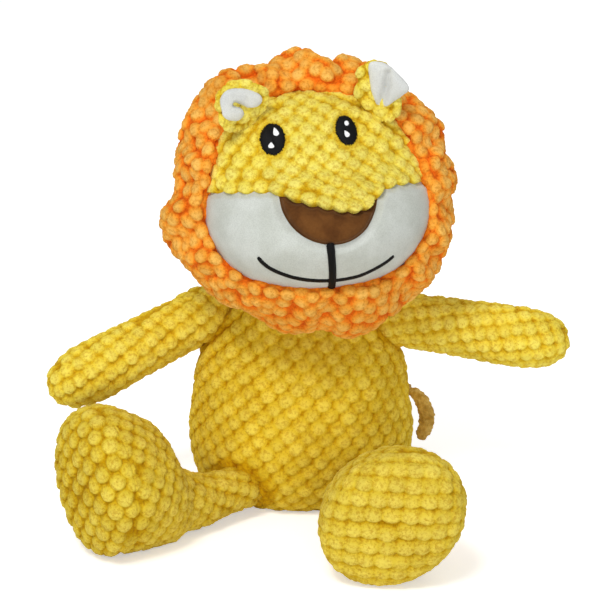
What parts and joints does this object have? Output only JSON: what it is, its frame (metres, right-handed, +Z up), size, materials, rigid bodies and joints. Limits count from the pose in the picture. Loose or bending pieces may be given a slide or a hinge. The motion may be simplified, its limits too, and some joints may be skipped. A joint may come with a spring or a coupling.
{
  "type": "plush lion",
  "caption": "Sitting plush lion with arms out and legs forward, in bumpy yellow pile with a gathered orange mane, a smooth white muzzle and embroidered eyes and smile.",
  "frame": {"origin": "on the floor under the middle of the whole lion", "axes": "+Z up, -Y the way the lion faces, +X its own left"},
  "size_m": [0.3216, 0.2254, 0.2869],
  "materials": {
    "yellow_popcorn_plush": "bumpy popcorn pile, about 10 mm apart",
    "polyester_fibre": "loose white hollow polyester fibre",
    "yellow_thread": "matt sewing thread",
    "white_plush": "short smooth pile",
    "brown_plush": "short smooth pile",
    "orange_popcorn_plush": "bumpy popcorn pile, about 10 mm apart",
    "black_thread": "satin stitch",
    "white_thread": "satin stitch",
    "tan_plush": "short smooth pile"
  },
  "bodies": {
    "torso": {"torso_front_panel": "yellow_popcorn_plush", "torso_back_panel": "yellow_popcorn_plush", "torso_stuffing": "polyester_fibre", "closing_stitch": "yellow_thread"},
    "neck": {"neck_sleeve": "yellow_popcorn_plush", "neck_stuffing": "polyester_fibre"},
    "head": {"head_back_panel": "yellow_popcorn_plush", "face_upper_panel": "yellow_popcorn_plush", "face_lower_panel": "white_plush", "nose_panel": "brown_plush", "head_stuffing": "polyester_fibre", "mane_ruff": "orange_popcorn_plush", "eye_left": "black_thread", "eye_left_upper_glint": "white_thread", "eye_left_lower_glint": "white_thread", "eye_right": "black_thread", "eye_right_upper_glint": "white_thread", "eye_right_lower_glint": "white_thread", "smile_left": "black_thread", "smile_right": "black_thread", "lip_line": "black_thread"},
    "ear_left": {"ear_left_back": "yellow_popcorn_plush", "ear_left_lining": "white_plush"},
    "ear_right": {"ear_right_back": "yellow_popcorn_plush", "ear_right_lining": "white_plush"},
    "arm_left": {"arm_left_front_panel": "yellow_popcorn_plush", "arm_left_back_panel": "yellow_popcorn_plush", "arm_left_stuffing": "polyester_fibre"},
    "arm_right": {"arm_right_front_panel": "yellow_popcorn_plush", "arm_right_back_panel": "yellow_popcorn_plush", "arm_right_stuffing": "polyester_fibre"},
    "leg_left": {"leg_left_inner_panel": "yellow_popcorn_plush", "leg_left_outer_panel": "yellow_popcorn_plush", "leg_left_sole": "yellow_popcorn_plush", "leg_left_stuffing": "polyester_fibre"},
    "leg_right": {"leg_right_inner_panel": "yellow_popcorn_plush", "leg_right_outer_panel": "yellow_popcorn_plush", "leg_right_sole": "yellow_popcorn_plush", "leg_right_stuffing": "polyester_fibre"},
    "tail": {"tail_stem": "tan_plush", "tail_tuft": "brown_plush"}
  },
  "joints": [
    {"name": "neck_turn", "type": "hinge", "parent": "torso", "child": "neck", "pos_m": [-0.00597, 0.04312, 0.138], "axis": [0, 0, 1], "range_deg": [-22, 22], "stiffness_Nm_per_rad": 0.8},
    {"name": "head_nod", "type": "hinge", "parent": "neck", "child": "head", "pos_m": [-0.00597, 0.04312, 0.138], "axis": [1, 0, 0], "range_deg": [-14, 4], "stiffness_Nm_per_rad": 1.5},
    {"name": "ear_left_fold", "type": "hinge", "parent": "head", "child": "ear_left", "pos_m": [0.0317, -0.00064, 0.25816], "axis": [0.8243, -0.0434, -0.5645], "range_deg": [-6, 15], "stiffness_Nm_per_rad": 0.02},
    {"name": "ear_right_fold", "type": "hinge", "parent": "head", "child": "ear_right", "pos_m": [-0.03269, -0.0085, 0.25304], "axis": [0.6852, 0.2824, 0.6713], "range_deg": [-6, 15], "stiffness_Nm_per_rad": 0.02},
    {"name": "arm_left_lift", "type": "hinge", "parent": "torso", "child": "arm_left", "pos_m": [0.06265, 0.04312, 0.11396], "axis": [-0.1045, -0.9945, 0], "range_deg": [-34, 18], "stiffness_Nm_per_rad": 0.25},
    {"name": "arm_right_lift", "type": "hinge", "parent": "torso", "child": "arm_right", "pos_m": [-0.0746, 0.04312, 0.11396], "axis": [-0.4226, 0.9063, 0], "range_deg": [-25, 30], "stiffness_Nm_per_rad": 0.25},
    {"name": "leg_left_swing", "type": "hinge", "parent": "torso", "child": "leg_left", "pos_m": [0.03636, -0.00762, 0.02317], "axis": [-0.9925, 0.1219, 0], "range_deg": [-55, 10], "stiffness_Nm_per_rad": 0.4},
    {"name": "leg_right_swing", "type": "hinge", "parent": "torso", "child": "leg_right", "pos_m": [-0.05199, -0.00441, 0.01864], "axis": [-0.6018, 0.7986, 0], "range_deg": [-55, 10], "stiffness_Nm_per_rad": 0.4},
    {"name": "tail_swing", "type": "hinge", "parent": "torso", "child": "tail", "pos_m": [0.0039, 0.09736, 0.02526], "axis": [0, 0, 1], "range_deg": [-6, 30], "stiffness_Nm_per_rad": 0.02}
  ]
}
